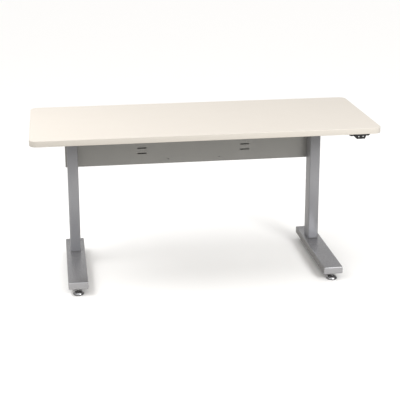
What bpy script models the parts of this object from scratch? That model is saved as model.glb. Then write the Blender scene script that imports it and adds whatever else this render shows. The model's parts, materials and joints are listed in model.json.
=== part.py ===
"""Height adjustable standing desk on two electric lifting columns.

Metres. X runs to the right, Y to the back and Z up, with the origin on the floor
under the middle of the worktop. The desk is at its lowest height.
"""
import math

import bmesh
import bpy
from mathutils import Matrix, Vector

# Driving dimensions
TOP_LENGTH = 1.524
TOP_DEPTH = 0.610
TOP_THICKNESS = 0.026
TOP_HEIGHT = 0.7286
TOP_CORNER = 0.0355
LAMINATE = 0.0012
BAND = 0.002
COLUMN_X = 0.5778
COLUMN_Y = 0.1671
COLUMN = (0.049, 0.080)
WALL = 0.002
FOOT = (0.0871, 0.558, 0.0317)
FOOT_Y = 0.0255
FOOT_BASE = 0.0329
CAP = 0.003
GLIDE_INSET = 0.0277
GLIDE_RADIUS = 0.0247
STEM_RADIUS = 0.004
BEAM = (1.220, 0.022, 0.2175)
BEAM_BASE = 0.457
BEAM_BEND = 0.003
COVER_WALL = 0.0015
COVER_LIP = 0.012
BOLT_LEVELS = (0.490, 0.555)
BOLT_HOLE = 0.0033
TIE_SLOT = (0.0443, 0.0055)
TIE_SLOT_X = 0.248
TIE_SLOT_LEVELS = (0.511, 0.537)
SCREW_HOLE_X = 0.1235
SCREW_HOLE_Z = 0.479
ARM = (0.060, 0.510, 0.0250)
ARM_Y = 0.020
ARM_WALL = 0.0025
ARM_TIP = 0.012
ARM_SLOPE = 0.050
CONTROLLER = (0.260, 0.096, 0.030)
CONTROLLER_AT = (0.215, 0.090)
INLET = (0.012, 0.030, 0.020)
HANDSET_X = 0.6665
HANDSET_FRONT = -0.3035
HANDSET_BACK = -0.2430
EARS = (-0.2900, -0.2500)
BUTTON = (0.0140, 0.0055, 0.0120)
BUTTON_APART = 0.0196
SPINDLE_RADIUS = 0.008
SPINDLE_BASE = 0.130
NUT_HEIGHT = 0.024
WORM_OFFSET = 0.020
WORM_RADIUS = 0.0065
TOOTH_GAP = 0.0004
WHEEL_WIDTH = 0.011
CHAMBER = (0.037, 0.047, 0.0142)
CHAMBER_FORWARD = 0.0055
BEARING_RADIUS = 0.0125
BEARING_HEIGHT = 0.0085
BEARING_RISE = 0.0120
BEARING_SEAT = 0.0072
POCKET_DEPTH = 0.05
WORM_HOLE_DEPTH = 0.030
SHAFT_BORE = 0.0036
SHAFT_BORE_DEPTH = 0.024
MOTOR_RADIUS = 0.0245
MOTOR_LENGTH = 0.098
GAP = 0.0003
GUIDE = 0.0019
MERGE = 0.00001

# Levels and sections that follow from them
UNDERSIDE = TOP_HEIGHT - TOP_THICKNESS
ARM_BASE = UNDERSIDE - GAP - ARM[2]
FOOT_TOP = FOOT_BASE + FOOT[2]
COLLAR_BASE = FOOT_TOP + 0.0008
TUBE_BASE = COLLAR_BASE + GUIDE + GAP
TUBE_TOP = ARM_BASE - GAP
BORE = (COLUMN[0] - 2 * WALL, COLUMN[1] - 2 * WALL)
TUBE_CORNER = 0.0045
BORE_CORNER = TUBE_CORNER - 0.0015
SLEEVE = (BORE[0] - 2 * GAP, BORE[1] - 2 * GAP)
INNER = (SLEEVE[0] - 2 * GUIDE - 2 * GAP, SLEEVE[1] - 2 * GUIDE - 2 * GAP)
INNER_CLEAR = (INNER[0] + 2 * GAP, INNER[1] + 2 * GAP)
INNER_TOP = 0.640
INNER_BORE = (INNER[0] - 2 * WALL, INNER[1] - 2 * WALL)
PLUG = (INNER_BORE[0] - 2 * GAP, INNER_BORE[1] - 2 * GAP)
HOUSING_BASE = INNER_TOP + 0.0015
HOUSING_TOP = TUBE_TOP - GAP
WHEEL_Z = 0.6515
WORM_Y = COLUMN_Y - WORM_OFFSET
COLUMN_INSIDE_X = COLUMN_X - COLUMN[0] / 2
FOOT_BOLTS = (COLUMN_Y - 0.020, COLUMN_Y + 0.020)
BEAM_FRONT = COLUMN_Y + COLUMN[1] / 2 + GAP
SIDES = {"left": -1, "right": 1}
ENDS = {"front": -1, "rear": 1}

for old in list(bpy.data.objects):
    bpy.data.objects.remove(old, do_unlink=True)
DESK = bpy.data.collections.new("standing_desk")
CUTTERS = bpy.data.collections.new("cutters")
for group in (DESK, CUTTERS):
    bpy.context.scene.collection.children.link(group)
CUTTERS.hide_render = True


def material(name, color, roughness, metallic=0.0):
    made = bpy.data.materials.new(name)
    made.use_nodes = True
    shader = made.node_tree.nodes["Principled BSDF"]
    shader.inputs["Base Color"].default_value = (*color, 1)
    shader.inputs["Roughness"].default_value = roughness
    shader.inputs["Metallic"].default_value = metallic
    made.diffuse_color = (*color, 1)
    return made


LAMINATE_WHITE = material("laminate_white", (0.89, 0.85, 0.76), 0.45)
BAND_CREAM = material("band_cream", (0.76, 0.71, 0.62), 0.5)
CHIPBOARD = material("chipboard", (0.62, 0.48, 0.31), 0.85)
SILVER_PAINT = material("silver_paint", (0.33, 0.33, 0.34), 0.3, 0.6)
SILVER_PLASTIC = material("silver_plastic", (0.42, 0.42, 0.43), 0.25, 0.3)
CHROME = material("chrome", (0.75, 0.76, 0.77), 0.08, 1.0)
ZINC = material("zinc", (0.55, 0.56, 0.58), 0.3, 1.0)
STEEL = material("steel", (0.45, 0.45, 0.46), 0.35, 1.0)
BLACK_PLASTIC = material("black_plastic", (0.02, 0.02, 0.022), 0.4)
NYLON = material("nylon", (0.05, 0.05, 0.05), 0.5)
BRONZE = material("bronze", (0.45, 0.27, 0.11), 0.35, 1.0)
MOTOR_BLACK = material("motor_black", (0.03, 0.03, 0.035), 0.45, 0.4)
CAST_ALLOY = material("cast_alloy", (0.5, 0.5, 0.5), 0.5, 1.0)


def frame(name, at):
    """An empty that a moving body's pieces hang from, on its joint's axis."""
    empty = bpy.data.objects.new(name, None)
    empty.location = at
    empty.empty_display_size = 0.03
    DESK.objects.link(empty)
    return empty


def add(name, mesh, at, finish, parent=None):
    """One named piece at a place in the desk, or a cutter where it has no finish."""
    obj = bpy.data.objects.new(name, mesh)
    obj.location = Vector(at) - (parent.location if parent else Vector())
    obj.parent = parent
    if finish:
        mesh.materials.append(finish)
        DESK.objects.link(obj)
    else:
        obj.hide_render = True
        obj.display_type = "WIRE"
        CUTTERS.objects.link(obj)
    return obj


def round_edges(obj, axis, radius, segments):
    """Rounds the edges that run along one axis, given as 'X', 'Y' or 'Z'."""
    mesh = obj.data
    mesh.attributes.new("bevel_weight_edge", "FLOAT", "EDGE")
    weights = mesh.attributes["bevel_weight_edge"].data
    for edge in mesh.edges:
        start, end = (mesh.vertices[i].co for i in edge.vertices)
        along = (end - start).normalized()
        weights[edge.index].value = float(abs(along["XYZ".index(axis)]) > 0.99)
    bevel = obj.modifiers.new("Round", "BEVEL")
    bevel.limit_method = "WEIGHT"
    bevel.width = radius
    bevel.segments = segments


def block(name, size, at, finish=None, parent=None, rounded=None, segments=3):
    """A box centred on a point. rounded holds an axis and the radius of the edges along it."""
    shape = bmesh.new()
    bmesh.ops.create_cube(shape, size=1)
    bmesh.ops.scale(shape, vec=size, verts=shape.verts)
    mesh = bpy.data.meshes.new(name)
    shape.to_mesh(mesh)
    shape.free()
    obj = add(name, mesh, at, finish, parent)
    if rounded:
        round_edges(obj, rounded[0], rounded[1], segments)
    return obj


def shaped_bar(name, outline, start, end, axis, finish=None, parent=None, at=(0, 0, 0)):
    """One outline carried along X, drawn in Y and Z, or along Y, drawn in X and Z."""
    curve = bpy.data.curves.new(name, "CURVE")
    curve.dimensions = "2D"
    curve.fill_mode = "BOTH"
    curve.extrude = (end - start) / 2
    spline = curve.splines.new("POLY")
    spline.points.add(len(outline) - 1)
    spline.use_cyclic_u = True
    for point, (across, up) in zip(spline.points, outline):
        point.co = (across, up, 0, 1)
    flat = bpy.data.objects.new(name + "_outline", curve)
    mesh = bpy.data.meshes.new_from_object(flat)
    bpy.data.objects.remove(flat, do_unlink=True)
    shape = bmesh.new()
    shape.from_mesh(mesh)
    bmesh.ops.remove_doubles(shape, verts=shape.verts, dist=MERGE)
    shape.to_mesh(mesh)
    shape.free()
    middle = (start + end) / 2
    if axis == "X":
        stand = Matrix(((0, 0, 1, middle), (1, 0, 0, 0), (0, 1, 0, 0), (0, 0, 0, 1)))
    else:
        stand = Matrix(((1, 0, 0, 0), (0, 0, -1, middle), (0, 1, 0, 0), (0, 0, 0, 1)))
    mesh.transform(stand)
    return add(name, mesh, at, finish, parent)


def rod(name, radius, length, at, finish=None, parent=None, axis="Z", sides=24):
    """A round bar centred on a point."""
    shape = bmesh.new()
    bmesh.ops.create_cone(shape, cap_ends=True, segments=sides, radius1=radius,
                          radius2=radius, depth=length)
    mesh = bpy.data.meshes.new(name)
    shape.to_mesh(mesh)
    shape.free()
    turn = {"X": Matrix.Rotation(math.pi / 2, 4, "Y"), "Y": Matrix.Rotation(math.pi / 2, 4, "X")}
    mesh.transform(turn.get(axis, Matrix()))
    return add(name, mesh, at, finish, parent)


def turned(name, profile, at, finish=None, parent=None, ring=False, sides=24, axis="Z"):
    """A turned piece. Its profile of radius and height runs down the outer side."""
    edges = [(i, i + 1) for i in range(len(profile) - 1)]
    if ring:
        edges.append((len(profile) - 1, 0))
    mesh = bpy.data.meshes.new(name)
    mesh.from_pydata([(radius, 0, height) for radius, height in profile], edges, [])
    obj = add(name, mesh, at, finish, parent)
    if axis == "X":
        obj.rotation_euler = (0, math.pi / 2, 0)
    screw = obj.modifiers.new("Turn", "SCREW")
    screw.steps = screw.render_steps = sides
    screw.use_merge_vertices = True
    screw.merge_threshold = 0.000001
    return obj


def cut(obj, cutter, operation="DIFFERENCE"):
    boolean = obj.modifiers.new(cutter.name, "BOOLEAN")
    boolean.operation = operation
    boolean.object = cutter
    return obj


def tube(name, section, bottom, top, place, finish, parent, radius):
    """An upright rectangular tube with rounded corners, open at both ends."""
    height = top - bottom
    at = (place[0], place[1], (top + bottom) / 2)
    piece = block(name, (*section, height), at, finish, parent, ("Z", radius))
    hollow = (section[0] - 2 * WALL, section[1] - 2 * WALL, height + 0.02)
    return cut(piece, block(name + "_bore", hollow, at, rounded=("Z", radius - 0.0015)))


def sleeve(name, outer, inner, bottom, top, place, finish, parent):
    """An upright rectangular plastic sleeve."""
    at = (place[0], place[1], (top + bottom) / 2)
    piece = block(name, (*outer, top - bottom), at, finish, parent, ("Z", BORE_CORNER + GAP), 2)
    hollow = (*inner, top - bottom + 0.02)
    return cut(piece, block(name + "_bore", hollow, at, rounded=("Z", 0.002), segments=2))


BASE = frame("base_frame", (0, 0, 0))
LIFT = frame("lift_frame", (0, COLUMN_Y, 0))


def worktop():
    top_at = (0, 0, UNDERSIDE + TOP_THICKNESS / 2)
    band = block("edge_band", (TOP_LENGTH, TOP_DEPTH, TOP_THICKNESS), top_at, BAND_CREAM, LIFT,
                 ("Z", TOP_CORNER), 10)
    inner = (TOP_LENGTH - 2 * BAND, TOP_DEPTH - 2 * BAND)
    corner = TOP_CORNER - BAND
    cut(band, block("band_inside", (*inner, 2 * TOP_THICKNESS), top_at,
                    rounded=("Z", corner), segments=10))
    soft = band.modifiers.new("Arris", "BEVEL")
    soft.width = 0.0008
    soft.limit_method = "ANGLE"
    soft.angle_limit = math.radians(60)
    sheet = (inner[0] - 2 * GAP, inner[1] - 2 * GAP)
    block("worktop_laminate", (*sheet, LAMINATE), (0, 0, TOP_HEIGHT - LAMINATE / 2),
          LAMINATE_WHITE, LIFT, ("Z", corner), 10)
    board = TOP_THICKNESS - LAMINATE - GAP
    block("worktop_core", (*sheet, board), (0, 0, UNDERSIDE + board / 2), CHIPBOARD, LIFT,
          ("Z", corner), 10)


def arm_outline(inset, rise):
    """Half a channel's side view, mirrored: level in the middle, sloping up to each end."""
    reach = ARM[1] / 2 - inset
    bottom, top = inset - ARM[2] / 2, ARM[2] / 2
    half = [(reach, top + rise), (reach, top - ARM_TIP + inset), (reach - ARM_SLOPE, bottom)]
    return half + [(-across, up) for across, up in reversed(half)]


def support_arm(side, sign):
    """A channel under the worktop, open upwards, with a sloping underside at each end."""
    at = Vector((sign * COLUMN_X, ARM_Y, ARM_BASE + ARM[2] / 2))
    half = ARM[0] / 2
    arm = shaped_bar("support_arm_" + side, arm_outline(0, 0), -half, half, "X", SILVER_PAINT,
                     LIFT, at)
    inside = half - ARM_WALL
    cut(arm, shaped_bar("arm_trough_" + side, arm_outline(ARM_WALL, ARM_WALL), -inside, inside,
                        "X", at=at))


def column(side, sign):
    place = (sign * COLUMN_X, COLUMN_Y)
    outer = tube("outer_tube_" + side, COLUMN, TUBE_BASE, TUBE_TOP, place, SILVER_PAINT, LIFT,
                 TUBE_CORNER)
    tube("inner_tube_" + side, INNER, FOOT_TOP + GAP, INNER_TOP, place, STEEL, BASE, 0.0035)
    lower = (TUBE_BASE - GAP, TUBE_BASE + 0.042)
    guide = sleeve("lower_guide_" + side, COLUMN, INNER_CLEAR, COLLAR_BASE, lower[1], place,
                   NYLON, LIFT)
    rim = block("guide_rim_" + side, (0.2, 0.2, 0.1), (*place, lower[0] + 0.05))
    core = block("guide_core_" + side, (*SLEEVE, 0.3), (*place, lower[0]),
                 rounded=("Z", BORE_CORNER + GAP), segments=2)
    cut(rim, core)
    cut(guide, rim)
    sleeve("upper_guide_" + side, SLEEVE, INNER_CLEAR, 0.590, 0.638, place, NYLON, BASE)
    shaft_hole = (sign * (COLUMN_INSIDE_X - 0.0055), WORM_Y, WHEEL_Z)
    cut(outer, rod("tube_shaft_hole_" + side, 0.0082, 0.030, shaft_hole, axis="X"))
    for level in BOLT_LEVELS:
        hole = (place[0], BEAM_FRONT - WALL, level)
        cut(outer, rod(f"tube_bolt_hole_{side}_{level}", BOLT_HOLE, 0.010, hole, axis="Y",
                       sides=16))


def column_inside(side, sign):
    place = (sign * COLUMN_X, COLUMN_Y)
    base = FOOT_TOP + GAP
    plug = block("column_base_" + side, (*PLUG, 0.014), (*place, base + 0.007), STEEL, BASE,
                 ("Z", 0.0022))
    for end, y in zip(ENDS, FOOT_BOLTS):
        cut(plug, rod(f"plug_hole_{side}_{end}", 0.0040, 0.040, (place[0], y, base), sides=16))
    nut_at = (*place, INNER_TOP - 0.002 - NUT_HEIGHT / 2)
    nut = block("spindle_nut_" + side, (*PLUG, NUT_HEIGHT), nut_at, NYLON, BASE, ("Z", 0.0022))
    cut(nut, rod("nut_bore_" + side, SPINDLE_RADIUS + GAP, 2 * NUT_HEIGHT, nut_at))


def drive(side, sign):
    """The worm gearbox in the column's top, its motor, and the spindle that it turns."""
    place = (sign * COLUMN_X, COLUMN_Y)
    housing_size = (*SLEEVE, HOUSING_TOP - HOUSING_BASE)
    middle = (HOUSING_BASE + HOUSING_TOP) / 2
    housing = block("gearbox_housing_" + side, housing_size, (*place, middle), CAST_ALLOY, LIFT,
                    ("Z", BORE_CORNER + GAP), 2)
    cut(housing, block("chamber_" + side, CHAMBER,
                       (place[0], place[1] - CHAMBER_FORWARD, WHEEL_Z)))
    cut(housing, rod("bearing_pocket_" + side, BEARING_RADIUS + GAP, POCKET_DEPTH,
                     (*place, WHEEL_Z + BEARING_SEAT + POCKET_DEPTH / 2)))
    cut(housing, rod("spindle_hole_" + side, SPINDLE_RADIUS + GAP, POCKET_DEPTH,
                     (*place, WHEEL_Z)))
    cut(housing, rod("worm_hole_" + side, WORM_RADIUS + GAP, WORM_HOLE_DEPTH,
                     (sign * (COLUMN_INSIDE_X + 0.005), WORM_Y, WHEEL_Z), axis="X"))
    spindle_rod(side, place)
    wheel_radius = WORM_OFFSET - WORM_RADIUS - TOOTH_GAP
    ring("worm_wheel_" + side, wheel_radius, WHEEL_WIDTH, WHEEL_Z, place, BRONZE)
    ring("spindle_bearing_" + side, BEARING_RADIUS, BEARING_HEIGHT, WHEEL_Z + BEARING_RISE,
         place, ZINC)
    turned("worm_" + side, worm_profile(sign), (place[0], WORM_Y, WHEEL_Z), STEEL, LIFT, axis="X")
    motor_x = sign * (COLUMN_INSIDE_X - GAP - MOTOR_LENGTH / 2)
    motor = turned("motor_" + side, motor_profile(), (motor_x, WORM_Y, WHEEL_Z), MOTOR_BLACK, LIFT,
                   sides=32, axis="X")
    cut(motor, rod("motor_bore_" + side, SHAFT_BORE, SHAFT_BORE_DEPTH,
                   (sign * (COLUMN_INSIDE_X - 0.002), WORM_Y, WHEEL_Z), axis="X", sides=16))


def worm_profile(sign):
    """The worm's outline, from its inner end out to the shaft that enters the motor."""
    tip, thread_start, thread_end, shoulder, shaft_end = 0.018, 0.0165, -0.0145, -0.0165, -0.0365
    tip_radius, neck_radius, shaft_radius = 0.005, 0.004, 0.003
    profile = [(0, tip), (tip_radius, tip), (WORM_RADIUS, thread_start), (WORM_RADIUS, thread_end),
               (neck_radius, shoulder), (shaft_radius, shoulder), (shaft_radius, shaft_end),
               (0, shaft_end)]
    if sign < 0:
        profile = [(radius, -height) for radius, height in reversed(profile)]
    return profile


def motor_profile():
    """The motor's outline: a can between two smaller end bells."""
    half, can = MOTOR_LENGTH / 2, MOTOR_RADIUS
    bell, shoulder, chamfer = can - 0.003, half - 0.012, 0.002
    return [(0, half), (bell, half), (bell, shoulder + chamfer), (can, shoulder),
            (can, chamfer - shoulder), (bell, -shoulder), (bell, -half), (0, -half)]


def spindle_rod(side, place):
    """The lifting screw. Its collar sits on the bearing."""
    bottom = SPINDLE_BASE - WHEEL_Z
    chamfer = 0.002
    collar_radius, collar_low, collar_top = 0.011, 0.0167, 0.0205
    profile = [(0, collar_top), (collar_radius, collar_top), (collar_radius, collar_low),
               (SPINDLE_RADIUS, collar_low), (SPINDLE_RADIUS, bottom + chamfer),
               (SPINDLE_RADIUS - chamfer, bottom), (0, bottom)]
    turned("spindle_" + side, profile, (*place, WHEEL_Z), STEEL, LIFT)


def ring(name, radius, height, level, place, finish):
    """A round piece pushed over the spindle."""
    bore = SPINDLE_RADIUS + GAP
    half = height / 2
    profile = [(bore, half), (radius, half), (radius, -half), (bore, -half)]
    turned(name, profile, (*place, level), finish, LIFT, ring=True)


def foot(side, sign):
    at = (sign * COLUMN_X, FOOT_Y, FOOT_BASE + FOOT[2] / 2)
    body = block("foot_tube_" + side, (FOOT[0], FOOT[1] - 2 * CAP, FOOT[2]), at, SILVER_PAINT, BASE,
                 ("Y", 0.003))
    hollow = (FOOT[0] - 2 * WALL, FOOT[1] + 0.02, FOOT[2] - 2 * WALL)
    cut(body, block("foot_bore_" + side, hollow, at, rounded=("Y", 0.0015), segments=2))
    for end, y in zip(ENDS, FOOT_BOLTS):
        cut(body, rod(f"foot_bolt_hole_{side}_{end}", 0.0045, 0.010, (at[0], y, FOOT_TOP), sides=16))
        cut(body, rod(f"foot_access_{side}_{end}", 0.009, 0.010, (at[0], y, FOOT_BASE)))
    for end, way in ENDS.items():
        foot_cap(f"{end}_{side}", way, at, hollow)
        glide_y = FOOT_Y + way * (FOOT[1] / 2 - GLIDE_INSET)
        hole = (at[0], glide_y, FOOT_BASE)
        cut(body, rod(f"insert_hole_{end}_{side}", 0.0078, 0.010, hole))
        glide(f"{end}_{side}", at[0], glide_y)


def foot_cap(place, way, foot_at, hollow):
    """A moulded end cap: an outer plate with a plug that pushes into the tube."""
    plate_y = FOOT_Y + way * (FOOT[1] / 2 - (CAP - GAP) / 2)
    at = (foot_at[0], plate_y, foot_at[2])
    cap = block("foot_cap_" + place, (FOOT[0], CAP - GAP, FOOT[2]), at, SILVER_PLASTIC, BASE,
                ("Y", 0.003))
    plug_size = (hollow[0] - 2 * GAP, 0.0122, hollow[2] - 2 * GAP)
    plug_at = (at[0], plate_y - way * 0.006, at[2])
    cut(cap, block("cap_plug_" + place, plug_size, plug_at, rounded=("Y", 0.0015), segments=2), "UNION")


def glide(place, x, y):
    """A levelling glide: a pad, the threaded stem that turns in it, and the foot's insert."""
    pad_top, socket_floor = 0.0215, 0.0042
    socket = STEM_RADIUS + GAP
    dome = [(0, pad_top), (0.0075, pad_top), (0.0100, 0.0195), (0.0165, 0.0150), (0.0215, 0.0100),
            (0.0240, 0.0065), (GLIDE_RADIUS, 0.0035), (0.0240, 0.0010), (0.0225, 0), (0, 0)]
    pad = turned("glide_pad_" + place, dome, (x, y, 0), CHROME, BASE)
    depth = pad_top - socket_floor
    cut(pad, rod("pad_socket_" + place, socket, 2 * depth, (x, y, pad_top), sides=16))
    stem = [(0, 0.058), (STEM_RADIUS - 0.001, 0.058), (STEM_RADIUS, 0.057), (STEM_RADIUS, 0.0300),
            (0.0072, 0.0300), (0.0072, 0.0222), (STEM_RADIUS, 0.0222), (STEM_RADIUS, 0.0050),
            (0, 0.0050)]
    turned("glide_stem_" + place, stem, (x, y, 0), ZINC, BASE, sides=18)
    insert = [(socket, 0.0480), (0.0075, 0.0480), (0.0075, 0.0370), (0.0105, 0.0370),
              (0.0105, 0.0352), (0.0075, 0.0352), (0.0075, 0.0331), (socket, 0.0331)]
    turned("glide_insert_" + place, insert, (x, y, 0), ZINC, BASE, ring=True, sides=18)


def folded_channel(depth, height, wall, steps=3):
    """The section of a folded channel: its web at 0, bent round into two flanges."""
    def bend(radius):
        """Points round the upper bend, from the flange to the web."""
        turns = [math.pi / 2 * i / steps for i in range(steps + 1)]
        return [(BEAM_BEND - radius * math.sin(turn),
                 height / 2 - BEAM_BEND + radius * math.cos(turn)) for turn in turns]

    outer = [(depth, height / 2)] + bend(BEAM_BEND)
    inner = [(depth, height / 2 - wall)] + bend(BEAM_BEND - wall)
    lower = [(across, -up) for across, up in reversed(outer)]
    return outer + lower + [(across, -up) for across, up in inner] + inner[::-1]


def crossbeam():
    """A folded channel behind the columns, with slots for cable ties and a cover over its back."""
    at = Vector((0, BEAM_FRONT, BEAM_BASE + BEAM[2] / 2))
    reach = BEAM[0] / 2
    beam = shaped_bar("crossbeam", folded_channel(BEAM[1], BEAM[2], WALL), -reach, reach, "X",
                      SILVER_PAINT, LIFT, at)
    lips = folded_channel(COVER_LIP, BEAM[2] - 2 * WALL - 2 * GAP, COVER_WALL)
    turned_round = [(-across, up) for across, up in lips]
    shaped_bar("beam_cover", turned_round, -reach, reach, "X", SILVER_PAINT, LIFT,
               at + Vector((0, BEAM[1], 0)))
    for sign in SIDES.values():
        for level in TIE_SLOT_LEVELS:
            cut(beam, block(f"beam_slot_{sign}_{level}", (TIE_SLOT[0], 0.010, TIE_SLOT[1]),
                            (sign * TIE_SLOT_X, BEAM_FRONT, level),
                            rounded=("Y", TIE_SLOT[1] / 2 - MERGE)))
        cut(beam, rod(f"beam_hole_{sign}", 0.003, 0.010,
                      (sign * SCREW_HOLE_X, BEAM_FRONT, SCREW_HOLE_Z), axis="Y", sides=16))
        for level in BOLT_LEVELS:
            cut(beam, rod(f"beam_bolt_hole_{sign}_{level}", BOLT_HOLE, 0.010,
                          (sign * COLUMN_X, BEAM_FRONT, level), axis="Y", sides=16))


def beam_bolts(side, sign):
    x = sign * COLUMN_X
    head_height = 0.004
    tip = BEAM_FRONT - WALL
    seat = BEAM_FRONT + WALL + GAP
    for name, level in zip(("lower", "upper"), BOLT_LEVELS):
        bolt = rod(f"beam_bolt_{name}_{side}", 0.0065, head_height, (x, seat + head_height / 2, level),
                   ZINC, LIFT, axis="Y", sides=6)
        inside_head = seat + head_height / 2
        shank = rod(f"bolt_shank_{name}_{side}", 0.003, inside_head - tip,
                    (x, (inside_head + tip) / 2, level), axis="Y", sides=16)
        cut(bolt, shank, "UNION")


def control_box():
    """The motor controller under the worktop, with a mains inlet in its left end."""
    at = Vector((*CONTROLLER_AT, UNDERSIDE - GAP - CONTROLLER[2] / 2))
    case = block("control_box", CONTROLLER, at, BLACK_PLASTIC, LIFT, ("X", 0.004))
    inlet_at = at + Vector((INLET[0] / 2 - CONTROLLER[0] / 2, 0.020, -0.002))
    pocket = [length + 2 * GAP for length in INLET]
    cut(case, block("inlet_pocket", pocket, inlet_at))
    inlet = block("power_inlet", INLET, inlet_at, NYLON, LIFT, ("X", 0.002))
    mouth = (INLET[0], INLET[1] - 0.006, INLET[2] - 0.006)
    cut(inlet, block("inlet_mouth", mouth, inlet_at - Vector((0.003, 0, 0))))


def handset():
    """The hand control under the front edge: two ears, a body and two sprung buttons."""
    below = (HANDSET_X, 0, UNDERSIDE - GAP)
    ears = [(-0.0545, 0), (-0.0425, -0.0105), (0.0395, -0.0105), (0.0500, 0)]
    case = shaped_bar("handset_case", ears, *EARS, "Y", BLACK_PLASTIC, LIFT, below)
    body = [(-0.0265, 0), (-0.0245, -0.0095), (-0.0180, -0.0205), (0.0180, -0.0205),
            (0.0225, -0.0095), (0.0245, 0)]
    cut(case, shaped_bar("handset_body", body, HANDSET_FRONT, HANDSET_BACK, "Y", at=below), "UNION")
    for name, way in (("down", -1), ("up", 1)):
        button(case, name, way)
    for name, way in (("left", -1), ("right", 1)):
        x = HANDSET_X - 0.0022 + way * 0.0375
        y = sum(EARS) / 2
        cut(case, rod("ear_hole_" + name, 0.0022, 0.03, (x, y, UNDERSIDE - 0.0105), sides=12))
        screw = [(0, 0), (0.0018, 0), (0.0018, -0.0111), (0.0040, -0.0111), (0.0040, -0.0126),
                 (0.0030, -0.0130), (0, -0.0130)]
        turned("handset_screw_" + name, screw, (x, y, UNDERSIDE - GAP), ZINC, LIFT, sides=12)


def button(case, name, way):
    """A sprung key in a pocket of the case, with a raised arrow that points its way."""
    middle = Vector((HANDSET_X + way * BUTTON_APART / 2, HANDSET_FRONT + 0.0027,
                     UNDERSIDE - 0.0104))
    pocket = (BUTTON[0] + 2 * GAP, 0.014, BUTTON[2] + 2 * GAP)
    cut(case, block("button_pocket_" + name, pocket, middle))
    key = block("button_" + name, BUTTON, middle, BLACK_PLASTIC, LIFT, ("Y", 0.0012), 2)
    arrow = rod("arrow_" + name, 0.0036, 0.0011, middle - Vector((0, 0.0029, 0)), axis="Y", sides=3)
    if way > 0:
        arrow.data.transform(Matrix.Rotation(math.pi, 4, "Y"))
    cut(key, arrow, "UNION")


worktop()
crossbeam()
control_box()
handset()
for side, sign in SIDES.items():
    support_arm(side, sign)
    column(side, sign)
    column_inside(side, sign)
    drive(side, sign)
    foot(side, sign)
    beam_bolts(side, sign)
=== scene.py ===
"""The looks of the height adjustable standing desk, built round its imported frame."""
import json
import math

import bmesh
import bpy
from mathutils import Matrix, Vector


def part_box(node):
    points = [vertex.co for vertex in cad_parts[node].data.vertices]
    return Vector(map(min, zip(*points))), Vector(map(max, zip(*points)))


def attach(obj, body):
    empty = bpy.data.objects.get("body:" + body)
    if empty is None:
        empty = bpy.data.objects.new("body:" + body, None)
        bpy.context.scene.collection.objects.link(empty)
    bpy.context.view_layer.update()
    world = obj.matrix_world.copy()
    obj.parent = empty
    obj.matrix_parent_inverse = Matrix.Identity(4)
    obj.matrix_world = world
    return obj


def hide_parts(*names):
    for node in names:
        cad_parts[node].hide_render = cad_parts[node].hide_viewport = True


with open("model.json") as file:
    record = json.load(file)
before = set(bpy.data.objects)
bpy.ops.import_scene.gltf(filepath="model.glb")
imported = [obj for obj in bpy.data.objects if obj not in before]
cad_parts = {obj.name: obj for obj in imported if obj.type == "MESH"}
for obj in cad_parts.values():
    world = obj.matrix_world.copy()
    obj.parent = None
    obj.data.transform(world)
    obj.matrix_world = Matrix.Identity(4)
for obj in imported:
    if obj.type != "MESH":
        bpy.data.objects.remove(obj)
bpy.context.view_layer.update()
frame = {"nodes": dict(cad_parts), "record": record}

QUARTER = math.pi / 2
SIDES = {"left": -1, "right": 1}
ENDS = {"front": -1, "rear": 1}
TUBE_WALL = 0.002
FOOT_CORNER = 0.003
TUBE_CORNER = 0.0045
INNER_TUBE_CORNER = 0.0035
TOP_CORNER = 0.0355
BAND = 0.002
GAP = 0.0003
FOOT_BOLT_OFFSET = 0.020
TIE_SLOT_CUTTER = (0.0443, 0.012, 0.0055)
TIE_SLOT_X = 0.248
TIE_SLOT_LEVELS = (0.511, 0.537)
SCREW_HOLE = (0.1235, 0.479)


# ---------------------------------------------------------------- node trees

class Link:
    """A node's output in an expression: arithmetic on it adds Math nodes to its tree."""

    def __init__(self, owner, socket):
        self.owner = owner
        self.socket = socket

    def math(self, operation, *terms):
        return self.owner.node("ShaderNodeMath", {"operation": operation}, dict(enumerate(terms)))

    def __add__(self, other):
        return self.math("ADD", self, other)

    def __radd__(self, other):
        return self.math("ADD", other, self)

    def __sub__(self, other):
        return self.math("SUBTRACT", self, other)

    def __rsub__(self, other):
        return self.math("SUBTRACT", other, self)

    def __mul__(self, other):
        return self.math("MULTIPLY", self, other)

    def __rmul__(self, other):
        return self.math("MULTIPLY", other, self)

    def __truediv__(self, other):
        return self.math("DIVIDE", self, other)

    def __rtruediv__(self, other):
        return self.math("DIVIDE", other, self)

    def __pow__(self, other):
        return self.math("POWER", self, other)

    def above(self, level, softness):
        """0 below the level and 1 above it, over a short ramp."""
        raised = (self - level) / softness + 0.5
        return raised.math("MINIMUM", raised.math("MAXIMUM", raised, 0.0), 1.0)


class Nodes:
    """A node tree that is filled by naming each node's type, settings and sockets."""

    def __init__(self, tree):
        self.tree = tree

    def node(self, kind, settings=None, sockets=None, output=0):
        made = self.tree.nodes.new(kind)
        for name, value in (settings or {}).items():
            setattr(made, name, value)
        for key, value in (sockets or {}).items():
            if isinstance(value, Link):
                self.tree.links.new(value.socket, made.inputs[key])
            else:
                made.inputs[key].default_value = value
        return Link(self, made.outputs[output])


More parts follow.
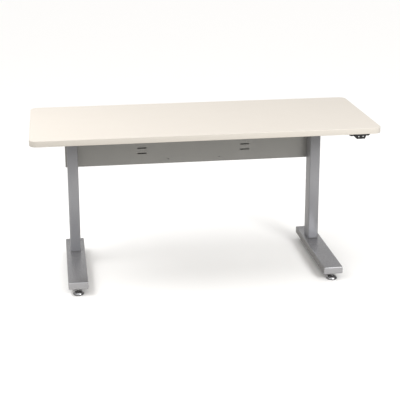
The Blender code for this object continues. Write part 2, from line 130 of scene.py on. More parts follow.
class Finish(Nodes):
    """A material. Its constants sit on the shader's own sockets."""

    def __init__(self, name, color, roughness, **constants):
        self.material = bpy.data.materials.new(name)
        self.material.use_nodes = True
        super().__init__(self.material.node_tree)
        self.shader = self.tree.nodes["Principled BSDF"]
        self.set("Base Color", (*color, 1))
        self.set("Roughness", roughness)
        for socket, value in constants.items():
            self.set(socket.replace("_", " ").title().replace("Ior", "IOR"), value)
        self.place = self.node("ShaderNodeTexCoord", output="Object")

    def set(self, socket, value):
        if isinstance(value, Link):
            self.tree.links.new(value.socket, self.shader.inputs[socket])
        else:
            self.shader.inputs[socket].default_value = value

    def stretched(self, x, y, z):
        """Object coordinates with a scale along each axis."""
        return self.node("ShaderNodeMapping", None, {"Vector": self.place, "Scale": (x, y, z)})

    def noise(self, scale, detail=3.0, roughness=0.5, vector=None):
        return self.node("ShaderNodeTexNoise", None,
                         {"Vector": vector or self.place, "Scale": scale, "Detail": detail,
                          "Roughness": roughness})

    def cells(self, scale, output="Distance"):
        return self.node("ShaderNodeTexVoronoi", None, {"Vector": self.place, "Scale": scale},
                         output)

    def blend(self, factor, first, second):
        return self.node("ShaderNodeMix", {"data_type": "RGBA"},
                         {0: factor, 6: first if isinstance(first, Link) else (*first, 1),
                          7: second if isinstance(second, Link) else (*second, 1)}, output=2)

    def bump(self, height, depth, strength):
        return self.node("ShaderNodeBump", None,
                         {"Height": height, "Distance": depth, "Strength": strength})


# ---------------------------------------------------------------- finishes

def laminate():
    """Off-white decor paper under a pebbled wear layer, with faint handling marks."""
    f = Finish("laminate_off_white", (0.80, 0.77, 0.70), 0.42, coat_weight=0.05)
    clouds = f.noise(3.0, 2.0)
    flecks = f.noise(900.0, 2.0).above(0.62, 0.10)
    tone = f.blend(clouds, (0.624, 0.576, 0.514), (0.610, 0.562, 0.500))
    f.set("Base Color", f.blend(flecks * 0.25, tone, (0.58, 0.54, 0.48)))
    rubbed = f.noise(7.0, 5.0, 0.6)
    f.set("Roughness", 0.36 + rubbed * 0.14)
    pebble = f.cells(1400.0) + f.noise(2400.0, 2.0) * 0.5
    f.set("Normal", f.bump(pebble, 0.00004, 0.35))
    return f.material


def band():
    """Extruded edge band, a shade darker than the worktop, with a fine grain along it."""
    f = Finish("edge_band_cream", (0.70, 0.66, 0.58), 0.45)
    grain = f.noise(60.0, 4.0, 0.6, f.stretched(0.6, 0.6, 14.0))
    f.set("Base Color", f.blend(grain, (0.60, 0.56, 0.50), (0.63, 0.59, 0.53)))
    f.set("Roughness", 0.38 + grain * 0.14)
    f.set("Normal", f.bump(grain + f.noise(1800.0, 2.0) * 0.6, 0.00004, 0.4))
    return f.material


def backer():
    """The pale balancing sheet under the board, dull and faintly mottled."""
    f = Finish("balancing_sheet", (0.55, 0.52, 0.46), 0.6)
    mottle = f.noise(30.0, 6.0, 0.65)
    f.set("Base Color", f.blend(mottle, (0.50, 0.475, 0.42), (0.60, 0.57, 0.51)))
    f.set("Roughness", 0.55 + mottle * 0.15)
    f.set("Normal", f.bump(f.noise(1200.0, 3.0), 0.00005, 0.4))
    return f.material


def powder_coat(name, color, roughness, metallic, flake=1.0):
    """Silver powder coat: metallic flakes under a soft orange peel."""
    f = Finish(name, color, roughness, metallic=metallic, coat_weight=0.25, coat_roughness=0.22)
    sparkle = f.cells(2600.0, output="Color")
    shine = f.node("ShaderNodeSeparateColor", None, {"Color": sparkle})
    lighter = tuple(channel * 1.16 for channel in color)
    darker = tuple(channel * 0.88 for channel in color)
    drift = f.noise(9.0, 3.0)
    f.set("Base Color", f.blend(shine * 0.35 * flake + drift * 0.35 + 0.15, darker, lighter))
    f.set("Roughness", roughness - 0.02 + f.noise(420.0, 2.0) * 0.04)
    peel = f.noise(520.0, 2.0, 0.4)
    f.set("Normal", f.bump(peel, 0.00004, 0.15))
    return f.material


def plain_metal(name, color, roughness, stretch, scratch=0.08):
    """Bare metal with drawing or turning marks along one way."""
    f = Finish(name, color, roughness, metallic=1.0)
    marks = f.noise(240.0, 4.0, 0.6, f.stretched(*stretch))
    f.set("Base Color", f.blend(marks, tuple(c * 0.86 for c in color), color))
    f.set("Roughness", roughness - scratch / 2 + marks * scratch + f.noise(25.0) * 0.05)
    f.set("Normal", f.bump(marks, 0.00003, 0.35))
    return f.material


def zinc():
    """Zinc plate with its faint spangle and a yellow-blue passivation drift."""
    f = Finish("zinc_plate", (0.60, 0.61, 0.62), 0.28, metallic=1.0)
    spangle = f.cells(260.0)
    drift = f.noise(40.0, 2.0)
    cool = f.blend(drift, (0.56, 0.58, 0.62), (0.64, 0.62, 0.58))
    f.set("Base Color", f.blend(spangle * 0.5, cool, (0.44, 0.45, 0.47)))
    f.set("Roughness", 0.22 + spangle * 0.16)
    f.set("Normal", f.bump(f.noise(700.0, 2.0), 0.00003, 0.25))
    return f.material


def chrome():
    """Bright chrome with the faint bloom and fine polishing lines of a handled part."""
    f = Finish("bright_chrome", (0.42, 0.42, 0.43), 0.12, metallic=1.0)
    bloom = f.noise(60.0, 4.0)
    lines = f.noise(900.0, 2.0, 0.5, f.stretched(0.2, 0.2, 3.0))
    f.set("Base Color", f.blend(bloom, (0.33, 0.33, 0.34), (0.41, 0.41, 0.42)))
    f.set("Roughness", 0.17 + bloom * 0.08 + lines * 0.04)
    return f.material


def moulded(name, color, roughness, grain=1.0, grain_depth=0.00005):
    """Moulded plastic with a spark-eroded grain and slight rubbing."""
    f = Finish(name, color, roughness, specular_ior_level=0.35)
    spots = f.cells(1500.0)
    rub = f.noise(35.0, 5.0, 0.6)
    lifted = tuple(channel * 1.25 + 0.004 for channel in color)
    f.set("Base Color", f.blend(rub, color, lifted))
    f.set("Roughness", roughness - 0.05 + rub * 0.12)
    f.set("Normal", f.bump(spots + f.noise(3000.0, 2.0), grain_depth, 0.5 * grain))
    return f.material


def cast_alloy():
    """Die-cast alloy: cloudy flow marks and a tumbled grain."""
    f = Finish("cast_alloy", (0.50, 0.50, 0.50), 0.46, metallic=1.0)
    flow = f.noise(50.0, 6.0, 0.7)
    f.set("Base Color", f.blend(flow, (0.40, 0.40, 0.41), (0.58, 0.58, 0.58)))
    f.set("Roughness", 0.38 + flow * 0.2)
    f.set("Normal", f.bump(f.noise(900.0, 4.0, 0.7), 0.0001, 0.5))
    return f.material


def ink():
    """White printing ink on the buttons' arrows, with faint wear."""
    f = Finish("arrow_ink", (0.62, 0.62, 0.62), 0.5)
    worn = f.noise(700.0, 3.0).above(0.66, 0.2)
    f.set("Base Color", f.blend(worn * 0.3, (0.66, 0.66, 0.66), (0.35, 0.35, 0.35)))
    f.set("Roughness", 0.45 + worn * 0.2)
    return f.material


def studio_floor():
    """A pale floor that bounces less light back up than it shows, and is clear from below."""
    f = Finish("studio_floor", (0.93, 0.92, 0.90), 0.9, specular_ior_level=0.0)
    direct = f.node("ShaderNodeLightPath", output="Is Camera Ray")
    f.set("Base Color", f.blend(direct, (0.56, 0.545, 0.52), (0.96, 0.95, 0.935)))
    below = f.node("ShaderNodeNewGeometry", output="Backfacing")
    clear = f.node("ShaderNodeBsdfTransparent")
    shown = f.node("ShaderNodeMixShader", None,
                   {0: below, 1: Link(f, f.shader.outputs[0]), 2: clear})
    f.tree.links.new(shown.socket, f.tree.nodes["Material Output"].inputs["Surface"])
    return f.material


SILVER = powder_coat("silver_powder_coat", (0.352, 0.356, 0.378), 0.36, 0.50)
# The beam's copy of the columns' silver paint is warmer and darker: painted warm bounce light from the
# worktop's cream underside, and painted shade, not a different paint.
BEAM_SILVER_PAINTED_LIGHT = powder_coat("silver_beam_coat", (0.324, 0.322, 0.312), 0.34, 0.50)
# The feet's copy of the same silver paint is darker and less blue: painted shade and painted warm bounce
# light set into the feet's colour, not a different paint.
FOOT_SILVER_PAINTED_LIGHT = powder_coat("silver_foot_coat", (0.288, 0.284, 0.290), 0.27, 0.58)
CAP_SILVER = powder_coat("silver_cap_paint", (0.44, 0.438, 0.452), 0.26, 0.35, 0.6)
FINISHES = {
    "laminate": laminate(), "edge_band": band(), "chipboard": backer(), "silver_paint": SILVER,
    "cap_plastic": CAP_SILVER, "chrome": chrome(), "zinc": zinc(),
    "steel": plain_metal("drawn_steel", (0.50, 0.50, 0.51), 0.34, (1, 1, 0.06)),
    "black_plastic": moulded("black_plastic", (0.010, 0.010, 0.0105), 0.48),
    "nylon": moulded("black_nylon", (0.030, 0.030, 0.031), 0.5, 0.6),
    "bronze": plain_metal("cast_bronze", (0.52, 0.34, 0.16), 0.34, (1, 1, 1)),
    "motor_black": moulded("motor_enamel", (0.022, 0.022, 0.024), 0.33, 0.4),
    "cast_alloy": cast_alloy(),
}
INK = ink()
GUIDE_GREY = moulded("guide_grey", (0.28, 0.28, 0.285), 0.45, 0.6)


# ---------------------------------------------------------------- mesh making

def rounded(width, depth, radius, steps=6):
    """The outline of a rounded rectangle about the origin, anticlockwise."""
    points = []
    for quarter, (right, back) in enumerate(((1, 1), (-1, 1), (-1, -1), (1, -1))):
        middle = (right * (width / 2 - radius), back * (depth / 2 - radius))
        for step in range(steps + 1):
            angle = (quarter + step / steps) * QUARTER
            points.append((middle[0] + radius * math.cos(angle),
                           middle[1] + radius * math.sin(angle)))
    return points


def along(axis, outline, level):
    """An outline's points at a level along one axis."""
    spread = {"X": lambda u, v: (level, u, v), "Y": lambda u, v: (u, level, v),
              "Z": lambda u, v: (u, v, level)}[axis]
    return [Vector(spread(u, v)) for u, v in outline]


def skin(rings, closed=False):
    """A mesh through rings of equal count. It is capped at both ends unless it closes on itself."""
    shape = bmesh.new()
    rows = [[shape.verts.new(point) for point in ring] for ring in rings]
    pairs = list(zip(rows, rows[1:]))
    if closed:
        pairs.append((rows[-1], rows[0]))
    for low, high in pairs:
        for i in range(len(low)):
            j = (i + 1) % len(low)
            shape.faces.new((low[i], low[j], high[j], high[i]))
    if not closed:
        shape.faces.new(rows[0])
        shape.faces.new(rows[-1])
    bmesh.ops.recalc_face_normals(shape, faces=shape.faces)
    return shape


def soft_levels(low, high, edge, steps=3):
    """(level, inset) pairs from low to high, with a quarter round at each end."""
    arc = [(edge * (1 - math.cos(i / steps * QUARTER)), edge * (1 - math.sin(i / steps * QUARTER)))
           for i in range(steps + 1)]
    start = [(low + rise, inset) for rise, inset in arc]
    return start + [(high - rise, inset) for rise, inset in reversed(arc)]


def bar(size, axis, radius, edge, steps=6):
    """A solid bar about the origin, with rounded corners along an axis and softened ends."""
    order = {"X": (1, 2, 0), "Y": (0, 2, 1), "Z": (0, 1, 2)}[axis]
    width, depth, length = (size[i] for i in order)
    return skin([along(axis, rounded(width - 2 * inset, depth - 2 * inset,
                                     max(radius - inset, 0.00005), steps), level)
                 for level, inset in soft_levels(-length / 2, length / 2, edge)])


def pipe(size, axis, radius, wall, edge=0.0004, steps=6):
    """A hollow bar about the origin, open at both ends."""
    order = {"X": (1, 2, 0), "Y": (0, 2, 1), "Z": (0, 1, 2)}[axis]
    width, depth, length = (size[i] for i in order)
    half = length / 2
    stations = soft_levels(-half, half, edge, 2)
    stations += [(half, wall), (-half, wall)]
    return skin([along(axis, rounded(width - 2 * inset, depth - 2 * inset,
                                     max(radius - inset, 0.0004), steps), level)
                 for level, inset in stations], closed=True)


def lathe(profile, steps=64, axis="Z"):
    """A turned solid from (radius, level) points. A closed ring where no point is on the axis."""
    turn = [(math.cos(i / steps * 2 * math.pi), math.sin(i / steps * 2 * math.pi))
            for i in range(steps)]
    solid = profile[0][0] == 0
    points = profile[1:-1] if solid else profile
    rings = [along(axis, [(radius * c, radius * s) for c, s in turn], level)
             for radius, level in points]
    return skin(rings, closed=not solid)


def drill(radius, reach, axis="Z", steps=64):
    """A round cutter about the origin, that reaches as far on both sides."""
    return lathe([(0, -reach), (radius, -reach), (radius, reach), (0, reach)], steps, axis)


def merged(*shapes):
    """Several shapes in one."""
    whole = bmesh.new()
    for shape in shapes:
        mesh = bpy.data.meshes.new("part")
        shape.to_mesh(mesh)
        shape.free()
        whole.from_mesh(mesh)
        bpy.data.meshes.remove(mesh)
    return whole


def moved(shape, x=0.0, y=0.0, z=0.0):
    bmesh.ops.translate(shape, vec=(x, y, z), verts=shape.verts)
    return shape


def spun(shape, angle, axis):
    bmesh.ops.rotate(shape, cent=(0, 0, 0), matrix=Matrix.Rotation(angle, 3, axis),
                     verts=shape.verts)
    return shape


def as_object(name, shape, finish):
    mesh = bpy.data.meshes.new(name)
    shape.to_mesh(mesh)
    shape.free()
    mesh.materials.append(finish)
    obj = bpy.data.objects.new(name, mesh)
    bpy.context.scene.collection.objects.link(obj)
    return obj


def carved(obj, *cutters):
    """Cuts shapes out of an object, and leaves it a plain mesh."""
    knife = as_object(obj.name + "_knife", merged(*cutters), obj.data.materials[0])
    boolean = obj.modifiers.new("Carve", "BOOLEAN")
    boolean.object = knife
    settle(obj)
    bpy.data.objects.remove(knife, do_unlink=True)
    return obj


def settle(obj):
    """Applies an object's modifiers."""
    graph = bpy.context.evaluated_depsgraph_get()
    mesh = bpy.data.meshes.new_from_object(obj.evaluated_get(graph), depsgraph=graph)
    obj.modifiers.clear()
    obj.data = mesh
    return obj


def fit(obj, body, replaces=(), sharp=32):
    """Shades a piece, hangs it on its body and hides the nodes it stands for."""
    mesh = obj.data
    mesh.polygons.foreach_set("use_smooth", [True] * len(mesh.polygons))
    mesh.set_sharp_from_angle(angle=math.radians(sharp))
    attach(obj, body)
    if replaces:
        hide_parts(*replaces)
    return obj


def piece(name, shape, body, slot, replaces=(), finish=None, sharp=32):
    return fit(as_object(name, shape, finish or FINISHES[slot]), body, replaces, sharp)


def middle(node):
    low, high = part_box(node)
    return (Vector(low) + Vector(high)) / 2


def extent(node):
    low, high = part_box(node)
    return Vector(high) - Vector(low)


# ---------------------------------------------------------------- geometry nodes

PATTERNS = []  # small shapes that the trees copy, taken away at the end


class Recipe(Nodes):
    """A Geometry Nodes tree with named inputs, which ends in plain mesh with one finish."""

    def __init__(self, name, **inputs):
        tree = bpy.data.node_groups.new(name, "GeometryNodeTree")
        tree.interface.new_socket("Geometry", in_out="OUTPUT", socket_type="NodeSocketGeometry")
        kinds = {"count": "NodeSocketInt", "finish": "NodeSocketMaterial"}
        for label in inputs:
            kind = kinds.get(label.split("_")[-1], "NodeSocketFloat")
            tree.interface.new_socket(label, in_out="INPUT", socket_type=kind)
        super().__init__(tree)
        self.group = tree.nodes.new("NodeGroupInput")
        self.values = inputs

    def given(self, label):
        return Link(self, self.group.outputs[label])

    def end(self, geometry):
        real = self.node("GeometryNodeRealizeInstances", None, {0: geometry})
        coated = self.node("GeometryNodeSetMaterial", None,
                           {"Geometry": real, "Material": self.given("finish")})
        out = self.tree.nodes.new("NodeGroupOutput")
        self.tree.links.new(coated.socket, out.inputs[0])

    def grow(self, name, body, slot, place=(0, 0, 0), turn=None, replaces=(), sharp=32):
        """Makes the plain mesh of this tree's result and hangs it on a body."""
        obj = bpy.data.objects.new(name, bpy.data.meshes.new(name))
        bpy.context.scene.collection.objects.link(obj)
        modifier = obj.modifiers.new("Recipe", "NODES")
        modifier.node_group = self.tree
        for item in self.tree.interface.items_tree:
            if item.in_out == "INPUT":
                modifier[item.identifier] = self.values[item.name]
        settle(obj)
        obj.data.transform(Matrix.Translation(place) @ (turn or Matrix()))
        return fit(obj, body, replaces, sharp)


def thread_recipe(name, radius, depth, pitch, length, finish):
    """A screw thread: a ridge of three-sided section wound along Z."""
    r = Recipe(name, radius=radius, depth=depth, pitch=pitch, length=length, finish=finish)
    turns = r.given("length") / r.given("pitch")
    root = r.given("radius") - r.given("depth") * 0.5
    path = r.node("GeometryNodeCurveSpiral", None,
                  {"Resolution": 20, "Rotations": turns, "Start Radius": root,
                   "End Radius": root, "Height": r.given("length")})
    section = r.node("GeometryNodeCurvePrimitiveCircle", None,
                     {"Resolution": 4, "Radius": r.given("depth") * 0.5})
    ridge = r.node("GeometryNodeCurveToMesh", None,
                   {"Curve": path, "Profile Curve": section, "Fill Caps": True})
    r.end(ridge)
    return r


def ring_recipe(name, radius, count, finish, thing):
    """Copies of one small shape stood in a ring about Z and facing outwards."""
    r = Recipe(name, radius=radius, ring_count=count, finish=finish)
    ring = r.node("GeometryNodeCurvePrimitiveCircle", None,
                  {"Resolution": r.given("ring_count"), "Radius": r.given("radius")})
    points = r.node("GeometryNodeCurveToPoints", {"mode": "EVALUATED"}, {"Curve": ring})
    order = r.node("GeometryNodeInputIndex")
    angle = order * (2 * math.pi) / r.given("ring_count")
    turn = r.node("ShaderNodeCombineXYZ", None, {"Z": angle})
    copies = r.node("GeometryNodeInstanceOnPoints", None,
                    {"Points": points, "Instance": thing(r), "Rotation": turn})
    r.end(copies)
    return r


def row_recipe(name, spacing, count, gauge, row_count, finish, thing):
    """Copies of one small shape in rows along Y, side by side in X and centred."""
    r = Recipe(name, spacing=spacing, each_count=count, gauge=gauge, row_count=row_count,
               finish=finish)
    along_y = (r.given("each_count") - 1.0) * r.given("spacing")
    across_x = (r.given("row_count") - 1.0) * r.given("gauge")
    grid = r.node("GeometryNodeMeshGrid", None,
                  {"Size X": across_x, "Size Y": along_y, "Vertices X": r.given("row_count"),
                   "Vertices Y": r.given("each_count")})
    copies = r.node("GeometryNodeInstanceOnPoints", None, {"Points": grid, "Instance": thing(r)})
    r.end(copies)
    return r


def boxed(x, y, z):
    """A small block, to be copied by a tree."""
    def thing(r):
        return r.node("GeometryNodeMeshCube", None, {"Size": (x, y, z)})
    return thing


def modelled(shape):
    """A shape made in mesh code, to be copied by a tree."""
    pattern = as_object("pattern", shape, FINISHES["zinc"])
    PATTERNS.append(pattern)

    def thing(r):
        return r.node("GeometryNodeObjectInfo", None, {"Object": pattern}, output="Geometry")
    return thing


def ball(radius):
    """A small ball, to be copied by a tree."""
    def thing(r):
        return r.node("GeometryNodeMeshIcoSphere", None, {"Radius": radius, "Subdivisions": 3})
    return thing


# ---------------------------------------------------------------- fasteners

def pan_head(radius, height, steps=32):
    """A domed screw head with a cross recess, its seat at 0 and its crown towards +Z."""
    dome = [(0, 0), (radius, 0), (radius, height * 0.35)]
    dome += [(radius * math.cos(turn) * 0.92, height * (0.42 + 0.58 * math.sin(turn)))
             for turn in (i / 5 * QUARTER for i in range(5))]
    dome += [(radius * 0.12, height), (0, height)]
    head = as_object("head", lathe(dome, steps), FINISHES["zinc"])
    for across, deep in ((1.15, 0.26), (0.26, 1.15)):
        groove = bar((radius * across, radius * deep, height), "Z", radius * 0.05, radius * 0.04, 1)
        carved(head, moved(groove, z=height * 1.02))
    shape = bmesh.new()
    shape.from_mesh(head.data)
    bpy.data.objects.remove(head, do_unlink=True)
    return shape


def hex_head(flats, height, washer=0.0):
    """A hexagon head with a chamfered crown, its seat at 0 and its crown towards +Z."""
    corner = flats / math.sqrt(3)
    rings = [(corner, washer), (corner, height * 0.86), (corner * 0.9, height)]
    outline = [(math.cos(i * math.pi / 3), math.sin(i * math.pi / 3)) for i in range(6)]
    shape = skin([along("Z", [(r * x, r * y) for x, y in outline], level) for r, level in rings])
    if washer:
        flange = lathe([(0, 0), (corner * 1.18, 0), (corner * 1.18, washer * 0.6),
                        (corner, washer * 1.1), (0, washer * 1.1)], 40)
        shape = merged(shape, flange)
    return shape


# ---------------------------------------------------------------- the desk's pieces

def worktop():
    """Board, laminate and edge band, each with its own soft edges."""
    top, size = middle("edge_band"), extent("edge_band")
    arris = 0.0013
    stations = soft_levels(-size.z / 2, size.z / 2, arris, 4)
    stations += [(size.z / 2, BAND), (-size.z / 2, BAND)]
    rings = [along("Z", rounded(size.x - 2 * inset, size.y - 2 * inset, TOP_CORNER - inset, 24), level)
             for level, inset in stations]
    piece("edge_band_shaped", moved(skin(rings, closed=True), *top), "lift", "edge_band",
          ("edge_band",))
    sheet, sheet_at = extent("worktop_laminate"), middle("worktop_laminate")
    reach = BAND - 0.00005
    wide, deep = size.x - 2 * reach, size.y - 2 * reach
    flat = skin([along("Z", rounded(wide, deep, TOP_CORNER - reach, 24), level)
                 for level in (-sheet.z / 2, sheet.z / 2)])
    piece("worktop_surface", moved(flat, *sheet_at), "lift", "laminate", ("worktop_laminate",))
    board, board_at = extent("worktop_core"), middle("worktop_core")
    core = skin([along("Z", rounded(board.x, board.y, TOP_CORNER - reach, 24), level)
                 for level in (-board.z / 2, board.z / 2)])
    piece("worktop_board", moved(core, *board_at), "lift", "chipboard", ("worktop_core",))


def columns():
    """The outer tubes with their holes, and the inner tubes that they slide on."""
    for side in SIDES:
        for node, body, slot, radius in (("outer_tube_", "lift", "silver_paint", TUBE_CORNER),
                                         ("inner_tube_", "base", "steel",
                                          INNER_TUBE_CORNER)):
            size = extent(node + side)
            shape = moved(pipe(size, "Z", radius, TUBE_WALL, 0.0005, 8), *middle(node + side))
            name = node.replace("_tube_", "_column_") + side
            if node == "outer_tube_":
                column = as_object(name, shape, FINISHES[slot])
                fit(carved(column, *column_holes(side)), body, (node + side,))
            else:
                piece(name, shape, body, slot, (node + side,))


def column_holes(side):
    """Cutters for the motor shaft's hole, and for the two bolts that hold the beam."""
    at, size = middle("outer_tube_" + side), extent("outer_tube_" + side)
    shaft = middle("worm_" + side)
    inner_face = at.x - SIDES[side] * size.x / 2
    cutters = [moved(drill(0.0082, 0.006, "X", 48), inner_face, shaft.y, shaft.z)]
    for level in ("lower", "upper"):
        bolt = middle(f"beam_bolt_{level}_{side}")
        cutters.append(moved(drill(0.0033, 0.006, "Y", 32), bolt.x, at.y + size.y / 2, bolt.z))
    return cutters


def guides():
    """The lower guides: a grey collar under each outer tube, with a sleeve inside it."""
    for side in SIDES:
        node = "lower_guide_" + side
        at, (low, high) = middle(node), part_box(node)
        size = extent("outer_tube_" + side)
        bore = extent("inner_tube_" + side)
        collar_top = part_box("outer_tube_" + side)[0][2] - GAP
        inner = rounded(bore.x + 2 * GAP, bore.y + 2 * GAP, INNER_TUBE_CORNER, 6)
        sleeve = rounded(size.x - 0.0046, size.y - 0.0046, 0.0033, 6)
        soft = rounded(size.x - 0.0006, size.y - 0.0006, 0.0042, 6)
        full = rounded(size.x, size.y, TUBE_CORNER, 6)
        stations = [(inner, low[2]), (soft, low[2]), (full, low[2] + 0.0003),
                    (full, collar_top - 0.0002), (sleeve, collar_top), (sleeve, high[2]),
                    (inner, high[2])]
        shape = skin([along("Z", outline, level) for outline, level in stations], closed=True)
        piece("guide_collar_" + side, moved(shape, at.x, at.y, 0), "lift", "nylon", (node,),
              GUIDE_GREY)


def feet():
    """The two flat tubes, bolted up into the columns and drilled for the glides."""
    for side in SIDES:
        size, at = extent("foot_tube_" + side), middle("foot_tube_" + side)
        tube = moved(pipe(size, "Y", FOOT_CORNER, TUBE_WALL, 0.0004, 8), *at)
        # The foot takes the darker, less blue copy of the silver paint, with painted shade and bounce
        # light in its colour.
        foot = as_object("foot_" + side, tube, FOOT_SILVER_PAINTED_LIGHT)
        column_y = middle("outer_tube_" + side).y
        holes = [moved(drill(0.009, 0.004, "Z", 40), at.x, column_y + way * FOOT_BOLT_OFFSET,
                       at.z - size.z / 2) for way in ENDS.values()]
        for end in ENDS:
            insert = middle(f"glide_insert_{end}_{side}")
            holes.append(moved(drill(0.0078, 0.004, "Z", 40), insert.x, insert.y,
                               at.z - size.z / 2))
        carved(foot, *holes)
        fit(foot, "base", ("foot_tube_" + side,))
        bolts = row_recipe("foot_bolts", 2 * FOOT_BOLT_OFFSET, 2, 0.0, 1, FINISHES["zinc"],
                           modelled(spun(hex_head(0.013, 0.0055, 0.0012), math.pi, "X")))
        bolts.grow("foot_bolts_" + side, "base", "zinc",
                   (at.x, column_y, at.z + size.z / 2 - 0.0025))
        for end, way in ENDS.items():
            foot_cap(end, side, way)


def foot_cap(end, side, way):
    """A moulded cap: a plate with a rounded outer edge, and a plug that goes into the tube."""
    node = f"foot_cap_{end}_{side}"
    low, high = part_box(node)
    plate = 0.0027
    outer = low[1] if way < 0 else high[1]
    size, at = extent(node), middle(node)
    edge = 0.0026
    arc = [(outer - way * plate, 0.0)]
    arc += [(outer - way * edge * (1 - math.sin(i / 5 * QUARTER)), edge * (1 - math.cos(i / 5 * QUARTER)))
            for i in range(6)]
    rings = [along("Y", [(at.x + u, at.z + v) for u, v in
                         rounded(size.x - 2 * inset, size.z - 2 * inset, 0.0046 - inset, 8)], level)
             for level, inset in arc]
    face = skin(rings)
    plug = bar((size.x - 0.0048, 0.0112, size.z - 0.0048), "Y", 0.0015, 0.0006, 3)
    moved(plug, at.x, outer - way * (plate + 0.0055), at.z)
    piece("end_" + node, merged(face, plug), "base", "cap_plastic", (node,), CAP_SILVER)


def glides():
    """The four domed glide feet."""
    for side in SIDES:
        for end in ENDS:
            key = f"{end}_{side}"
            pad = middle("glide_pad_" + key)
            rim, height = extent("glide_pad_" + key).x / 2, extent("glide_pad_" + key).z
            dome = [(0.0043, 0.0042), (0.0043, height), (0.0072, height), (0.0078, height - 0.0006),
                    (0.0086, height - 0.0022)]
            dome += [(rim * math.cos(a), 0.0036 + (height - 0.0062) * math.sin(a) ** 1.25)
                     for a in (math.radians(d) for d in range(66, -1, -6))]
            dome += [(rim - 0.0003, 0.0022), (rim - 0.0010, 0.0010), (rim - 0.0022, 0.0002),
                     (rim - 0.0030, 0), (0.0044, 0), (0.0043, 0.0042)]
            turned = lathe(dome[:-1], 64)
            floor = lathe([(0, 0.0001), (0.0060, 0.0001), (0.0060, 0.0040), (0, 0.0040)], 32)
            piece("glide_foot_" + key, moved(merged(turned, floor), pad.x, pad.y, 0),
                  "glide_pad_" + key, "chrome", ("glide_pad_" + key,), sharp=40)
            glide_stem(key, pad)


def glide_stem(key, pad):
    """A threaded stem with a hexagon for the spanner."""
    low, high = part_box("glide_stem_" + key)
    core = lathe([(0, low[2]), (0.0034, low[2]), (0.0034, high[2] - 0.0006), (0.0028, high[2]),
                  (0, high[2])], 24)
    neck = lathe([(0, low[2]), (0.0040, low[2]), (0.0040, 0.0225), (0, 0.0225)], 32)
    nut = moved(hex_head(0.0124, 0.0076), z=0.0223)
    body = "glide_stem_" + key
    shape = moved(merged(core, neck, nut), pad.x, pad.y, 0)
    piece("levelling_stem_" + key, shape, body, "zinc", ("glide_stem_" + key,))
    length = high[2] - 0.0312
    thread = thread_recipe("stem_thread", 0.0040, 0.00085, 0.00125, length, FINISHES["zinc"])
    thread.grow("stem_thread_" + key, body, "zinc", (pad.x, pad.y, 0.0305))


def crossbeam():
    """The folded channel behind the columns, with tie slots and screw holes."""
    low, high = (Vector(corner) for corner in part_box("crossbeam"))
    wall = 0.002
    profile = channel(low.y, high.y, low.z, high.z, wall, 0.0035)
    shape = skin([along("X", profile, low.x), along("X", profile, high.x)])
    # The beam takes the warmer, darker copy of the silver paint, with painted bounce light and painted
    # shade in its colour.
    beam = as_object("rear_crossbeam", shape, BEAM_SILVER_PAINTED_LIGHT)
    cuts = []
    for sign in SIDES.values():
        for level in TIE_SLOT_LEVELS:
            cuts.append(moved(bar(TIE_SLOT_CUTTER, "Y", 0.0027, 0.0001, 6),
                              sign * TIE_SLOT_X, low.y, level))
        cuts.append(moved(drill(0.003, 0.006, "Y", 32), sign * SCREW_HOLE[0], low.y,
                          SCREW_HOLE[1]))
    carved(beam, *cuts)
    fit(beam, "lift", ("crossbeam",))
    beam_cover()
    for side in SIDES:
        for level in ("lower", "upper"):
            node = f"beam_bolt_{level}_{side}"
            at = middle(node)
            seat = low.y + wall + 0.0002
            head = spun(hex_head(0.0112, 0.0050, 0.0010), -QUARTER, "X")
            shank = lathe([(0, seat - 0.0040), (0.003, seat - 0.0040), (0.003, seat + 0.001),
                           (0, seat + 0.001)], 24, "Y")
            shape = merged(moved(head, at.x, seat, at.z), moved(shank, at.x, 0, at.z))
            piece(f"beam_screw_{level}_{side}", shape, "lift", "zinc", (node,))


def beam_cover():
    """The pressed sheet that closes the beam's back, with its screws."""
    low, high = (Vector(corner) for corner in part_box("beam_cover"))
    wall, bend = 0.0015, 0.0028
    profile = channel(high.y, low.y, low.z, high.z, wall, bend)
    cover = skin([along("X", profile, low.x), along("X", profile, high.x)])
    # The cover takes the same warmer, darker copy of the silver paint, with painted bounce light and
    # painted shade in its colour.
    piece("rear_beam_cover", cover, "lift", "silver_paint", ("beam_cover",), BEAM_SILVER_PAINTED_LIGHT)
    beam_low, beam_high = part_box("crossbeam")
    for edge, level, turn in (("lower", beam_low[2], math.pi), ("upper", beam_high[2], 0.0)):
        screws = row_recipe("cover_screws", 0.0, 1, 0.366, 4, FINISHES["zinc"],
                            modelled(spun(pan_head(0.0042, 0.0022, 20), turn, "X")))
        screws.grow("cover_screws_" + edge, "lift", "zinc",
                    (0.0, (low.y + high.y) / 2 - 0.001, level))
    beam_ends(Vector(beam_low), Vector(beam_high))


def beam_ends(low, high):
    """Push-in plugs that close the beam's two ends."""
    for side, way in SIDES.items():
        end = low.x if way < 0 else high.x
        size = (0.009, high.y - low.y - 0.0046, high.z - low.z - 0.0046)
        plug = moved(bar(size, "X", 0.0022, 0.0008, 4), end - way * 0.0050,
                     (low.y + high.y) / 2, (low.z + high.z) / 2)
        piece("beam_plug_" + side, plug, "lift", "cap_plastic")


def channel(web, open_end, bottom, top, wall, bend, steps=6):
    """A folded channel's section in Y and Z, from its web to its open side."""
    way = 1 if open_end > web else -1

    def corner(level, up, radius):
        """A quarter bend from the flange to the web. up is 1 at the top."""
        turns = [QUARTER * i / steps for i in range(steps + 1)]
        return [(web + way * (bend - radius * math.sin(t)),
                 level - up * (bend - radius * math.cos(t))) for t in turns]

    outer = [(open_end, top)] + corner(top, 1, bend)
    outer += corner(bottom, -1, bend)[::-1] + [(open_end, bottom)]
    inner = [(open_end, bottom + wall)] + corner(bottom, -1, bend - wall)
    inner += corner(top, 1, bend - wall)[::-1] + [(open_end, top - wall)]
    return outer + inner


